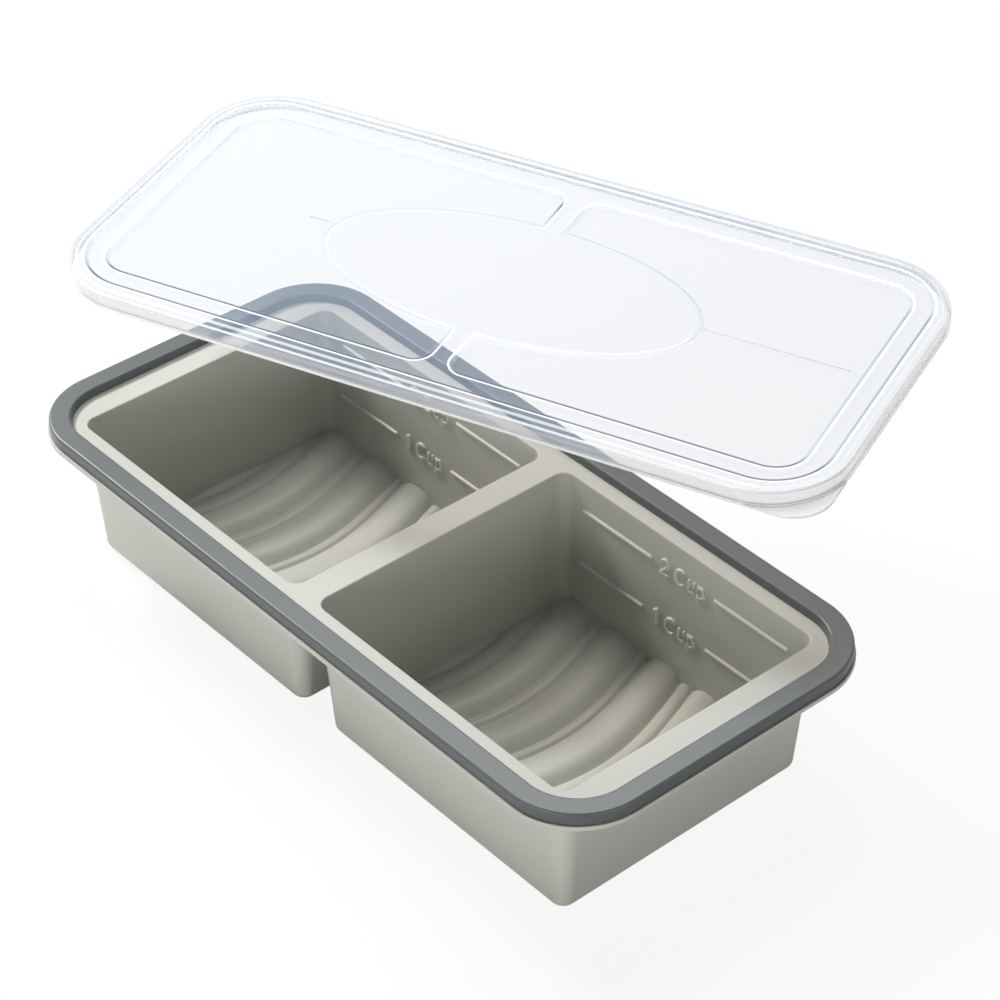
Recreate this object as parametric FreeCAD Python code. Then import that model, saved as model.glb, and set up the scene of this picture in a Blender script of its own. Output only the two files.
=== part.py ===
"""Two-compartment silicone freezing tray with a clear lid, in millimetres.

The tray stands on the plane z = 0, with its origin midway between the two
tubs.  +X runs along the tray, +Y across it towards the wall that carries the
volume marks, and +Z is up.  The lid hangs above the tray, lifted off, turned
and slid aside, and its joint raises and lowers it along Z.
"""
import FreeCAD, Part

import math
import os

from FreeCAD import Placement, Rotation, Vector

# ---- rim: the dark band and the flange that it is moulded onto -------------
RIM_LENGTH = 288.4
RIM_WIDTH = 136.9
RIM_CORNER = 26.8
RIM_TOP = 57.0             # height of the band's top over the table
BAND_HEIGHT = 4.5
BAND_WIDTH = 7.7           # across the band's flat top
BAND_FOOT_WIDTH = 8.2      # across its foot, which leans in a little
BAND_ROUND = 0.9
BAND_STANDS = 3.0          # the band's top over the flange's top
LIP_PROUD = 0.7            # the flange's lip past the band's outer face
FLANGE_THICKNESS = 3.2
FRAME_STRIP_WIDTH = 3.5    # flat steel strip inside the band
FRAME_STRIP_HEIGHT = 1.5

# ---- the two tubs ----------------------------------------------------------
TUB_PITCH = 131.2          # centre to centre
TUB_TOP_LENGTH = 123.3     # outside, just under the flange
TUB_TOP_WIDTH = 111.9
TUB_FOOT_LENGTH = 115.9    # outside, on the table
TUB_FOOT_WIDTH = 104.6
TUB_TOP_CORNER = 7.5
TUB_FOOT_CORNER = 4.8
TUB_FOOT_ROUND = 3.0
MOUTH_LENGTH = 118.8       # inside, at the flange's top
MOUTH_WIDTH = 108.2
MOUTH_CORNER = 6.0
MOUTH_ROUND = 1.2
WELL_LENGTH = 111.6        # inside, just under the lowest part of the floor
WELL_WIDTH = 100.4
WELL_CORNER = 4.5
WELL_BOTTOM = 1.0

# ---- the ribbed floor ------------------------------------------------------
FLOOR_LOW = 1.8            # the valleys' height over the table
WIDE_RIB_HEIGHT = 3.1
NARROW_RIB_HEIGHT = 0.9
NARROW_RIBS = ((-52.8, -45.3), (-27.2, -21.9), (-4.8, -0.5), (16.6, 22.2), (36.8, 41.6))
RIB_BEND = 9.9             # how far the ribs bow sideways
RIB_BEND_WAVE = 171.0      # length of the cosine that they bow along
RIB_BEND_CENTRE = 1.0
RIB_FIELD_LENGTH = 160.0
RIB_FIELD_WIDTH = 116.0
RIB_ARCH_POWER = 0.8       # under 1 makes the arches fuller than a sine
RIB_ARCH_STEPS = 4         # spans of the curve across each rib
RIB_PATH_STEPS = 4         # and of the one along it

# ---- raised volume marks on each +Y inner wall -----------------------------
MARK_RAISED = 0.7
MARK_SUNK = 0.8            # how far a mark's root reaches into the wall
LINE_WIDTH = 1.3
LETTER_HEIGHT = 6.6        # a capital's
STROKE = 0.17              # a letter's stroke, as a share of a capital's height
SMALL_LETTER = 0.75        # the same, the height of u and of p's bowl
BOWL_SHRINK = 0.01         # the same, how much smaller the hole in the p is
TWO_CUP_HEIGHT = 43.0      # marks' heights over the table
ONE_CUP_HEIGHT = 21.6
TWO_CUP_LINES = ((-49.6, -15.0), (14.7, 49.1))
ONE_CUP_LINES = ((-49.0, -16.8), (13.2, 47.0))

# ---- lid -------------------------------------------------------------------
LID_LENGTH = 291.2
LID_WIDTH = 139.4
LID_CORNER = 30.0
LID_WALL = 1.0
LID_FLARE = 0.2            # how far the skirt leans out down its height
LID_HEIGHT = 6.2
LID_ROUND = 1.2
LID_INNER_ROUND = 0.5
FIELD_LENGTH = 278.9       # the lowered field inside the lid's border
FIELD_WIDTH = 124.9
FIELD_CORNER = 21.8
FIELD_DROP = 0.6
PANEL_LENGTH = 263.2       # both recessed panels together
PANEL_WIDTH = 108.9
PANEL_CORNER = 11.7
PANEL_GAP = 8.2
PANEL_GAP_CORNER = 6.5
PANEL_DROP = 0.5
OVAL_LENGTH = 141.0
OVAL_WIDTH = 67.0
PANEL_MIDDLE = 2.3         # the oval's and the gap's place along x
CENTRE_GROOVE_Y = 3.8
CENTRE_GROOVE_WIDTH = 0.7
CENTRE_GROOVE_DEPTH = 0.25
CENTRE_GROOVE_GAP = 0.2    # between the oval and each groove's start
GRIP_RADIUS = 0.8          # bars inside the skirt that press on the rim's side
GRIP_PROUD = 0.4
GRIP_OVER_FOOT = 1.9       # the bars' middle over the skirt's foot
GRIP_LONG = 150.0
GRIP_SHORT = 60.0
TAB_CORNER = 14.0          # the lifting tab at one corner of the skirt's foot
TAB_THICKNESS = 1.0

# ---- where the lid hangs ---------------------------------------------------
LID_SHIFT_X = -37.6
LID_SHIFT_Y = 64.0
LID_TOP_OVER_RIM = 50.5
LID_TURN = 21.4            # degrees about Z
LID_TILT = 2.0             # degrees about the lid's own long axis

FLANGE_TOP = RIM_TOP - BAND_STANDS
FLANGE_BOTTOM = FLANGE_TOP - FLANGE_THICKNESS
BAND_BOTTOM = RIM_TOP - BAND_HEIGHT
WALL_LEAN = (MOUTH_WIDTH - WELL_WIDTH) / 2 / (FLANGE_TOP - WELL_BOTTOM)
SPARE = 5.0                # how far a cutting tool runs past what it cuts
SAME_POINT = 1e-6


def rounded_rectangle(length, width, corner, height, centre_x=0.0):
    """Closed wire of a rectangle with round corners, in the plane z = height."""
    half_x, half_y = length / 2, width / 2
    diagonal = corner * math.sqrt(0.5)
    edges = []
    for quarter in range(4):
        sign_x = (1, -1, -1, 1)[quarter]
        sign_y = (1, 1, -1, -1)[quarter]
        centre = Vector(centre_x + sign_x * (half_x - corner), sign_y * (half_y - corner), height)
        along_x = centre + Vector(sign_x * corner, 0, 0)
        along_y = centre + Vector(0, sign_y * corner, 0)
        middle = centre + Vector(sign_x * diagonal, sign_y * diagonal, 0)
        first, last = (along_x, along_y) if quarter % 2 == 0 else (along_y, along_x)
        if edges:
            edges.append(Part.LineSegment(edges[-1].Vertexes[-1].Point, first).toShape())
        edges.append(Part.Arc(first, middle, last).toShape())
    edges.append(Part.LineSegment(edges[-1].Vertexes[-1].Point, edges[0].Vertexes[0].Point).toShape())
    return Part.Wire(edges)


def slab(length, width, corner, low, high, centre_x=0.0):
    """Upright prism on a rounded rectangle."""
    face = Part.Face(rounded_rectangle(length, width, corner, low, centre_x))
    return face.extrude(Vector(0, 0, high - low))


def leaning_block(low_size, low, high_size, high, centre_x=0.0):
    """Block between two rounded rectangles, each given as length, width, corner."""
    sections = [rounded_rectangle(*low_size, low, centre_x), rounded_rectangle(*high_size, high, centre_x)]
    return Part.makeLoft(sections, True, True)


def edges_at_height(shape, height):
    """Edges that lie wholly in the plane z = height."""
    return [
        edge for edge in shape.Edges
        if all(abs(vertex.Point.z - height) < 1e-4 for vertex in edge.Vertexes)
        and abs(edge.BoundBox.ZLength) < 1e-3
    ]


def tub_centres():
    """The two tubs' centres along X."""
    return -TUB_PITCH / 2, TUB_PITCH / 2


# ---------------------------------------------------------------- ribbed floor
def rib_spans():
    """Each rib across the floor: its left valley, right valley and height."""
    spans = []
    previous = -RIB_FIELD_LENGTH / 2
    for left, right in NARROW_RIBS:
        spans.append((previous, left, WIDE_RIB_HEIGHT))
        spans.append((left, right, NARROW_RIB_HEIGHT))
        previous = right
    spans.append((previous, RIB_FIELD_LENGTH / 2, WIDE_RIB_HEIGHT))
    return spans


def rib_arch(left, right, height):
    """Curve across one rib, from valley to valley."""
    points = []
    for step in range(RIB_ARCH_STEPS + 1):
        share = step / RIB_ARCH_STEPS
        rise = height * abs(math.sin(math.pi * share)) ** RIB_ARCH_POWER
        points.append(Vector(left + (right - left) * share, 0, FLOOR_LOW + rise))
    curve = Part.BSplineCurve()
    curve.interpolate(points)
    return curve


def rib_bend(across):
    """Sideways shift of the ribs at a place across the tub."""
    phase = 2 * math.pi * (across - RIB_BEND_CENTRE) / RIB_BEND_WAVE
    return -RIB_BEND * (1 - math.cos(phase))


def rib_path():
    """Curve that the rib profile is carried along, across the tub."""
    points = []
    for step in range(RIB_PATH_STEPS + 1):
        across = (step / RIB_PATH_STEPS - 0.5) * RIB_FIELD_WIDTH
        points.append(Vector(rib_bend(across), across, 0))
    curve = Part.BSplineCurve()
    curve.interpolate(points)
    return curve


def rib_block(arch, path):
    """Solid under one rib: its arch carried along the path, and down past the tub's underside."""
    poles = [[along + across for across in path.getPoles()] for along in arch.getPoles()]
    surface = Part.BSplineSurface()
    surface.buildFromPolesMultsKnots(
        poles, arch.getMultiplicities(), path.getMultiplicities(),
        arch.getKnots(), path.getKnots(), False, False, arch.Degree, path.Degree,
    )
    return surface.toShape().extrude(Vector(0, 0, -2 * SPARE))


def ribbed_ground(centre_x):
    """Everything under one tub's ribbed floor, as blocks to keep from the well."""
    path = rib_path()
    blocks = [rib_block(rib_arch(*span), path) for span in rib_spans()]
    for block in blocks:
        block.translate(Vector(centre_x, 0, 0))
    return blocks


def tub_hollow(centre_x):
    """The space inside one tub, down to its ribbed floor."""
    well = (WELL_LENGTH, WELL_WIDTH, WELL_CORNER)
    mouth = (MOUTH_LENGTH, MOUTH_WIDTH, MOUTH_CORNER)
    return leaning_block(well, WELL_BOTTOM, mouth, FLANGE_TOP, centre_x).cut(ribbed_ground(centre_x))


# ---------------------------------------------------------------- volume marks
def on_circle(centre, radius, angle):
    """X and Y of a point on a circle, with the angle in degrees."""
    turn = math.radians(angle)
    return centre[0] + radius * math.cos(turn), centre[1] + radius * math.sin(turn)


def round_bar(low, high, width):
    """Face of a straight line along X between two ends, with round caps."""
    half = width / 2
    edges = [
        Part.LineSegment(Vector(low + half, -half, 0), Vector(high - half, -half, 0)).toShape(),
        Part.Arc(Vector(high - half, -half, 0), Vector(high, 0, 0), Vector(high - half, half, 0)).toShape(),
        Part.LineSegment(Vector(high - half, half, 0), Vector(low + half, half, 0)).toShape(),
        Part.Arc(Vector(low + half, half, 0), Vector(low, 0, 0), Vector(low + half, -half, 0)).toShape(),
    ]
    return Part.Face(Part.Wire(edges))


class Outline:
    """Outline of one character, drawn in units of the letter height."""

    def __init__(self, cursor, start):
        self.cursor = cursor
        self.first = self.last = self.place(start)
        self.edges = []

    def place(self, point):
        """Point in millimetres for a point of the character's own box."""
        return Vector((self.cursor + point[0]) * LETTER_HEIGHT, (point[1] - 0.5) * LETTER_HEIGHT, 0)

    def lines(self, *points):
        """Straight edges on through the given points."""
        for point in points:
            place = self.place(point)
            self.edges.append(Part.LineSegment(self.last, place).toShape())
            self.last = place
        return self

    def arc(self, centre, radius, start, end):
        """Arc between two angles, joined on with a straight edge if it starts elsewhere."""
        places = [self.place(on_circle(centre, radius, angle)) for angle in (start, (start + end) / 2, end)]
        if (places[0] - self.last).Length > SAME_POINT:
            self.edges.append(Part.LineSegment(self.last, places[0]).toShape())
        self.edges.append(Part.Arc(*places).toShape())
        self.last = places[-1]
        return self

    def wire(self):
        """The closed outline."""
        if (self.first - self.last).Length > SAME_POINT:
            self.edges.append(Part.LineSegment(self.last, self.first).toShape())
        return Part.Wire(self.edges)


def digit_one(cursor):
    """Face and width of the digit 1."""
    outline = Outline(cursor, (0.22, 0.0))
    outline.lines((0.37, 0.0), (0.37, 1.0), (0.25, 1.0), (0.0, 0.82), (0.0, 0.68), (0.22, 0.81))
    return Part.Face(outline.wire()), 0.62


def digit_two(cursor):
    """Face and width of the digit 2: a hook over a slanting stroke and a foot."""
    centre, outside = (0.33, 0.68), 0.32
    outline = Outline(cursor, on_circle(centre, outside, 170))
    outline.arc(centre, outside, 170, -38)
    outline.lines((0.27, STROKE), (0.68, STROKE), (0.68, 0.0), (0.0, 0.0), (0.0, 0.09))
    outline.arc(centre, outside - STROKE, -38, 170)
    return Part.Face(outline.wire()), 0.77


def capital_c(cursor):
    """Face and width of the letter C: a ring with a gap."""
    centre, outside = (0.5, 0.5), 0.5
    outline = Outline(cursor, on_circle(centre, outside, 52))
    outline.arc(centre, outside, 52, 308).arc(centre, outside - STROKE, 308, 52)
    return Part.Face(outline.wire()), 1.0


def small_u(cursor):
    """Face and width of the letter u: two stems and half a ring."""
    outside = 0.265
    centre, width = (outside, outside), 2 * outside
    outline = Outline(cursor, (0.0, SMALL_LETTER))
    outline.lines((0.0, centre[1])).arc(centre, outside, 180, 360)
    outline.lines((width, SMALL_LETTER), (width - STROKE, SMALL_LETTER), (width - STROKE, centre[1]))
    outline.arc(centre, outside - STROKE, 360, 180).lines((STROKE, SMALL_LETTER))
    return Part.Face(outline.wire()), 0.665


def small_p(cursor):
    """Face and width of the letter p: a stem, and a long bowl with a hole of its shape."""
    outside, foot = 0.29, -0.23
    inside = outside - STROKE - BOWL_SHRINK
    high, low = (outside, SMALL_LETTER - outside), (outside, outside)
    turn = math.degrees(math.acos((STROKE - outside) / outside))
    outline = Outline(cursor, (0.0, foot))
    outline.lines((0.0, SMALL_LETTER), (STROKE, SMALL_LETTER))
    outline.arc(high, outside, turn, 0).arc(low, outside, 0, -turn).lines((STROKE, foot))
    hole = Outline(cursor, on_circle(high, inside, 0))
    hole.arc(high, inside, 0, 180).arc(low, inside, 180, 360)
    return Part.Face(outline.wire()).cut(Part.Face(hole.wire())), 2 * outside


def word_gap(cursor):
    """No face, and the width of a space."""
    return None, 0.25


GLYPHS = {"1": digit_one, "2": digit_two, "C": capital_c, "u": small_u, "p": small_p, " ": word_gap}


def word_faces(word, middle):
    """Faces of a word about a place along X."""
    cursor = middle / LETTER_HEIGHT - sum(GLYPHS[glyph](0.0)[1] for glyph in word) / 2
    faces = []
    for glyph in word:
        face, advance = GLYPHS[glyph](cursor)
        cursor += advance
        if face:
            faces.append(face)
    return faces


def volume_marks(centre_x):
    """Raised lines and words on one tub's +Y wall, as solids to join to it."""
    solids = []
    rows = ((TWO_CUP_HEIGHT, TWO_CUP_LINES, "2 Cup"), (ONE_CUP_HEIGHT, ONE_CUP_LINES, "1 Cup"))
    for height, lines, word in rows:
        middle = (lines[0][1] + lines[1][0]) / 2
        faces = [round_bar(low, high, LINE_WIDTH) for low, high in lines] + word_faces(word, middle)
        wall = MOUTH_WIDTH / 2 - WALL_LEAN * (FLANGE_TOP - height)
        onto_wall = Rotation(Vector(1, 0, 0), 90 - math.degrees(math.atan(WALL_LEAN)))
        place = Placement(Vector(centre_x, wall, height), onto_wall)
        for face in faces:
            face.translate(Vector(0, 0, -MARK_SUNK))
            solid = face.extrude(Vector(0, 0, MARK_SUNK + MARK_RAISED))
            solid.Placement = place.multiply(solid.Placement)
            solids.append(solid)
    return solids


# ------------------------------------------------------------------ tray pieces
def tray_moulding():
    """Flange, two tubs, ribbed floors and volume marks, moulded as one."""
    lip = (RIM_LENGTH + 2 * LIP_PROUD, RIM_WIDTH + 2 * LIP_PROUD, RIM_CORNER + LIP_PROUD)
    body = slab(*lip, FLANGE_BOTTOM, BAND_BOTTOM)
    inner = (RIM_LENGTH - 2 * BAND_FOOT_WIDTH, RIM_WIDTH - 2 * BAND_FOOT_WIDTH,
             RIM_CORNER - BAND_FOOT_WIDTH)
    body = body.fuse(slab(*inner, BAND_BOTTOM, FLANGE_TOP))
    for centre_x in tub_centres():
        foot = (TUB_FOOT_LENGTH, TUB_FOOT_WIDTH, TUB_FOOT_CORNER)
        top = (TUB_TOP_LENGTH, TUB_TOP_WIDTH, TUB_TOP_CORNER)
        tub = leaning_block(foot, 0.0, top, FLANGE_BOTTOM, centre_x)
        tub = tub.makeFillet(TUB_FOOT_ROUND, edges_at_height(tub, 0.0))
        body = body.fuse(tub)
    for centre_x in tub_centres():
        body = body.cut(tub_hollow(centre_x))
    body = body.removeSplitter()
    mouth_edges = [edge for edge in edges_at_height(body, FLANGE_TOP) if is_mouth_edge(edge)]
    body = body.makeFillet(MOUTH_ROUND, mouth_edges)
    for centre_x in tub_centres():
        body = body.fuse(volume_marks(centre_x))
    return body


def is_mouth_edge(edge):
    """Whether an edge of the flange's top belongs to a tub's mouth."""
    middle = edge.BoundBox.Center
    reach_x = abs(abs(middle.x) - TUB_PITCH / 2)
    return reach_x < MOUTH_LENGTH / 2 + 0.5 and abs(middle.y) < MOUTH_WIDTH / 2 + 0.5


def frame_ring(width, low, high):
    """Ring midway across the band's foot, of the given width."""
    middle = BAND_FOOT_WIDTH / 2
    outside, inside = middle - width / 2, middle + width / 2
    rings = [
        slab(RIM_LENGTH - 2 * inset, RIM_WIDTH - 2 * inset, RIM_CORNER - inset, low, high)
        for inset in (outside, inside)
    ]
    return rings[0].cut(rings[1])


def rim_frame():
    """Flat steel strip round the rim that keeps the soft tray level."""
    return frame_ring(FRAME_STRIP_WIDTH, BAND_BOTTOM, BAND_BOTTOM + FRAME_STRIP_HEIGHT)


def rim_band():
    """Dark silicone band moulded round the flange, over the steel strip."""
    outside = slab(RIM_LENGTH, RIM_WIDTH, RIM_CORNER, BAND_BOTTOM, RIM_TOP)
    foot = (RIM_LENGTH - 2 * BAND_FOOT_WIDTH, RIM_WIDTH - 2 * BAND_FOOT_WIDTH,
            RIM_CORNER - BAND_FOOT_WIDTH)
    top = (RIM_LENGTH - 2 * BAND_WIDTH, RIM_WIDTH - 2 * BAND_WIDTH, RIM_CORNER - BAND_WIDTH)
    below = slab(*foot, BAND_BOTTOM - SPARE, FLANGE_TOP)
    above = leaning_block(foot, FLANGE_TOP, top, RIM_TOP)
    band = outside.cut(below).cut(above)
    band = band.makeFillet(BAND_ROUND, edges_at_height(band, RIM_TOP))
    return band.cut(rim_frame())


# ------------------------------------------------------------------------- lid
def lid_panels(inset, low, high):
    """The two recessed panels either side of the cross bar, less the oval."""
    blocks = []
    for side in (-1, 1):
        near, far = PANEL_MIDDLE + side * PANEL_GAP / 2, side * PANEL_LENGTH / 2
        length, width = abs(far - near) - 2 * inset, PANEL_WIDTH - 2 * inset
        block = slab(length, width, PANEL_GAP_CORNER - inset, low, high, (near + far) / 2)
        outline = slab(PANEL_LENGTH - 2 * inset, width, PANEL_CORNER - inset, low, high)
        blocks.append(block.common(outline))
    middle = Vector(PANEL_MIDDLE, 0, low)
    oval = Part.Ellipse(middle, OVAL_LENGTH / 2 + inset, OVAL_WIDTH / 2 + inset).toShape()
    pad = Part.Face(Part.Wire([oval])).extrude(Vector(0, 0, high - low))
    return [block.cut(pad) for block in blocks]


def grip_bars():
    """Half-round bars along the skirt's inside, one on each side."""
    level = -LID_HEIGHT + GRIP_OVER_FOOT
    lean = LID_FLARE * (-level / LID_HEIGHT)
    reach_y = LID_WIDTH / 2 + lean - LID_WALL + GRIP_RADIUS - GRIP_PROUD
    reach_x = LID_LENGTH / 2 + lean - LID_WALL + GRIP_RADIUS - GRIP_PROUD
    bars = []
    for side in (-1, 1):
        start = Vector(-GRIP_LONG / 2, side * reach_y, level)
        bars.append(Part.makeCylinder(GRIP_RADIUS, GRIP_LONG, start, Vector(1, 0, 0)))
        start = Vector(side * reach_x, -GRIP_SHORT / 2, level)
        bars.append(Part.makeCylinder(GRIP_RADIUS, GRIP_SHORT, start, Vector(0, 1, 0)))
    return bars


def lifting_tab(foot, inner_foot):
    """Flat tab at the foot of the corner at +x and -y, outside the skirt's inner face."""
    low, high = -LID_HEIGHT, -LID_HEIGHT + TAB_THICKNESS
    plate = slab(foot[0], foot[1], TAB_CORNER, low, high)
    corner = Part.makeBox(foot[0], foot[1], 2 * LID_HEIGHT, Vector(0, -foot[1], -LID_HEIGHT))
    return plate.common(corner).cut(slab(*inner_foot, low - SPARE, high + SPARE))


def lid_shell():
    """Thin cap with a leaning skirt, a raised border, two recessed panels and a tab."""
    flare = 2 * LID_FLARE
    top = (LID_LENGTH, LID_WIDTH, LID_CORNER)
    foot = (LID_LENGTH + flare, LID_WIDTH + flare, LID_CORNER + LID_FLARE)
    outside = leaning_block(foot, -LID_HEIGHT, top, 0.0)
    bars = [bar.common(outside) for bar in grip_bars()]
    outside = outside.makeFillet(LID_ROUND, edges_at_height(outside, 0.0))
    thin = 2 * LID_WALL
    lean = LID_FLARE * LID_WALL / LID_HEIGHT
    inner_top = (LID_LENGTH + 2 * lean - thin, LID_WIDTH + 2 * lean - thin, LID_CORNER - LID_WALL)
    inner_foot = (foot[0] - thin, foot[1] - thin, foot[2] - LID_WALL)
    hollow = leaning_block(inner_foot, -LID_HEIGHT, inner_top, -LID_WALL)
    hollow = hollow.makeFillet(LID_INNER_ROUND, edges_at_height(hollow, -LID_WALL))
    field_low = -FIELD_DROP - LID_WALL
    hollow = hollow.cut(slab(FIELD_LENGTH + thin, FIELD_WIDTH + thin, FIELD_CORNER + LID_WALL,
                             field_low, SPARE))
    hollow = hollow.cut(lid_panels(-LID_WALL, field_low - PANEL_DROP, field_low + SPARE))
    shell = outside.cut(hollow)
    shell = shell.cut(slab(FIELD_LENGTH, FIELD_WIDTH, FIELD_CORNER, -FIELD_DROP, SPARE))
    shell = shell.cut(lid_panels(0.0, -FIELD_DROP - PANEL_DROP, SPARE))
    shell = shell.fuse([*bars, lifting_tab(foot, inner_foot)])
    return shell.cut(centre_grooves())


def centre_grooves():
    """Shallow groove along the lid's middle, from each end to the oval."""
    level = -FIELD_DROP - PANEL_DROP
    reach = (PANEL_LENGTH - OVAL_LENGTH) / 2 - SPARE
    grooves = []
    for side in (-1, 1):
        near = OVAL_LENGTH / 2 + CENTRE_GROOVE_GAP
        low_x = PANEL_MIDDLE + (near if side > 0 else -near - reach)
        low_y = CENTRE_GROOVE_Y - CENTRE_GROOVE_WIDTH / 2
        corner = Vector(low_x, low_y, level - CENTRE_GROOVE_DEPTH)
        grooves.append(Part.makeBox(reach, CENTRE_GROOVE_WIDTH, SPARE, corner))
    return grooves


def hanging_lid():
    """The lid where it hangs over the tray, turned and slid aside."""
    shell = lid_shell()
    turn = Rotation(Vector(0, 0, 1), LID_TURN).multiply(Rotation(Vector(1, 0, 0), LID_TILT))
    shell.Placement = Placement(Vector(LID_SHIFT_X, LID_SHIFT_Y, RIM_TOP + LID_TOP_OVER_RIM), turn)
    return shell


# --------------------------------------------------------------------- reports
def millilitres_under(height):
    """Volume of one tub's hollow up to a height, in millilitres."""
    centre_x = TUB_PITCH / 2
    below = Part.makeBox(TUB_PITCH, 2 * RIM_WIDTH, height, Vector(0, -RIM_WIDTH, 0))
    return tub_hollow(centre_x).common(below).Volume / 1000.0


def main():
    os.makedirs("parts", exist_ok=True)
    pieces = {
        "tray_moulding": tray_moulding(),
        "rim_band": rim_band(),
        "rim_frame": rim_frame(),
        "lid": hanging_lid(),
    }
    for name, shape in pieces.items():
        solids = shape.Solids
        box = shape.BoundBox
        print(f"{name}: {len(solids)} solid(s), {shape.Volume / 1000:.2f} cm3, valid {shape.isValid()}, "
              f"z {box.ZMin:.2f} to {box.ZMax:.2f}, {box.XLength:.1f} x {box.YLength:.1f}")
        kept = solids[0] if len(solids) == 1 else shape
        kept.exportStep(f"parts/{name}.step")
    for label, height in (("1 cup", ONE_CUP_HEIGHT), ("2 cup", TWO_CUP_HEIGHT), ("brim", FLANGE_TOP)):
        print(f"one tub up to the {label} line: {millilitres_under(height):.0f} ml")


if __name__ == "__main__":
    main()
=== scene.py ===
"""Looks for a two-tub silicone freezing tray with its clear lid held in the air above it.

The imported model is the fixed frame: x runs along the tray, y runs across it towards the walls
that carry the volume marks, and z is up from the table.  Sizes below are in millimetres and are
turned into metres when a mesh is made.
"""

from __future__ import annotations

import logging
import math
from collections.abc import Sequence
from dataclasses import dataclass, field
from enum import Enum

import bmesh
import bpy
import numpy as np
from mathutils import Matrix, Quaternion, Vector
from mathutils.geometry import delaunay_2d_cdt

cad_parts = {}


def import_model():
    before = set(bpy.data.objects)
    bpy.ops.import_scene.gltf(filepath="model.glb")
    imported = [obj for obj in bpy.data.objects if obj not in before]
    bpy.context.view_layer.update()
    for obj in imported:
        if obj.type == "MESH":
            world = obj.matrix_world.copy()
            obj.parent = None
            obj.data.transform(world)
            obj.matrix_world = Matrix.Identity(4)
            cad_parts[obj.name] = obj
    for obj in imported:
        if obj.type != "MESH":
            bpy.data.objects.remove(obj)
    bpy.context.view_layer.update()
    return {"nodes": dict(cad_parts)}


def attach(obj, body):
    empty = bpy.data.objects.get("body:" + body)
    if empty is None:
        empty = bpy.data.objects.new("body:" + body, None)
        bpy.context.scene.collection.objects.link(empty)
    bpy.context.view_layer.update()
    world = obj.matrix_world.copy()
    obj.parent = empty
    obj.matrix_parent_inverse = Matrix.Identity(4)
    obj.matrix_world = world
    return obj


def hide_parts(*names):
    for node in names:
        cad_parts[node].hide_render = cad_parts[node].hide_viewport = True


MM = 0.001
WHITE = (1.0, 1.0, 1.0, 1.0)
Colour = tuple[float, float, float]
Triple = tuple[float, float, float]

log = logging.getLogger("tray_scene")


class Body(str, Enum):
    """Rigid bodies of the frame that a piece can ride on."""

    TRAY = "tray"
    LID = "lid"


class Slot(str, Enum):
    """Material slots of the record."""

    GREY_SILICONE = "grey_silicone"
    SLATE_SILICONE = "slate_silicone"
    STEEL_STRIP = "steel_strip"
    CLEAR_PLASTIC = "clear_plastic"


# --------------------------------------------------------------------------- shapes in plan
@dataclass(frozen=True)
class Ring:
    """Places round a rounded rectangle, independent of its size.

    Each place has an anchor, the share of the way from the middle to the corner circles' centres
    along x and y, and an outward direction.  A point is the anchor scaled by the straight half
    lengths plus the corner radius along the direction.
    """

    anchor: np.ndarray
    outward: np.ndarray

    @classmethod
    def plain(cls, corner_steps: int = 14, side_steps: int = 1) -> Ring:
        """Evenly stepped places, anticlockwise from the middle of the +x side.

        Args:
            corner_steps: spans along each quarter circle.
            side_steps: spans along each straight side.

        Returns:
            A ring of 4 * (corner_steps + side_steps) places.
        """
        turns = np.linspace(0.0, math.pi / 2, corner_steps + 1)
        along = np.linspace(1.0, -1.0, side_steps + 1)[1:-1]
        anchors, outwards = [], []
        for quarter in range(4):
            spin = quarter * math.pi / 2
            corner = np.array([(1, 1), (-1, 1), (-1, -1), (1, -1)][quarter], float)
            anchors.append(np.repeat(corner[None], corner_steps + 1, axis=0))
            outwards.append(np.column_stack([np.cos(turns + spin), np.sin(turns + spin)]))
            side = np.array([0.0, 1.0]) if quarter % 2 == 0 else np.array([-1.0, 0.0])
            side = side if quarter < 2 else -side
            free = 1 - np.abs(side)
            anchors.append(side + along[:, None] * free * corner)
            outwards.append(np.repeat(side[None], len(along), axis=0))
        return cls(np.vstack(anchors), np.vstack(outwards))

    def __len__(self) -> int:
        """Number of places."""
        return len(self.anchor)


@dataclass(frozen=True)
class Plan:
    """Rounded rectangle in plan: full length, full width, corner radius and middle along x."""

    length: float
    width: float
    corner: float
    centre_x: float = 0.0

    def grown(self, by: float) -> Plan:
        """The same outline moved outwards by a distance, or inwards if it is negative."""
        return Plan(self.length + 2 * by, self.width + 2 * by, self.corner + by, self.centre_x)

    def moved(self, centre_x: float) -> Plan:
        """The same outline about another middle."""
        return Plan(self.length, self.width, self.corner, centre_x)

    def toward(self, other: Plan, share: float) -> Plan:
        """Outline part of the way to another one."""
        mix = [a + (b - a) * share for a, b in zip(self.sizes(), other.sizes())]
        return Plan(*mix, self.centre_x)

    def sizes(self) -> Triple:
        """Length, width and corner radius."""
        return self.length, self.width, self.corner

    def depth(self, points: np.ndarray) -> np.ndarray:
        """How far points lie inside the outline, by its straight sides and corner circles."""
        reach = np.abs(points[:, :2] - (self.centre_x, 0.0))
        past = reach - (self.length / 2 - self.corner, self.width / 2 - self.corner)
        return self.corner - np.linalg.norm(np.maximum(past, 0.0), axis=1) - np.minimum(past.max(axis=1), 0.0)

    def on(self, ring: Ring, height: float | np.ndarray) -> np.ndarray:
        """Points of this outline at a ring's places.

        Args:
            ring: the places.
            height: one height, or one for each place.

        Returns:
            One row of x, y and z for each place.
        """
        straight = np.array([self.length / 2 - self.corner, self.width / 2 - self.corner])
        flat = ring.anchor * straight + ring.outward * self.corner
        level = np.broadcast_to(height, len(ring))
        return np.column_stack([flat[:, 0] + self.centre_x, flat[:, 1], level])


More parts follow.
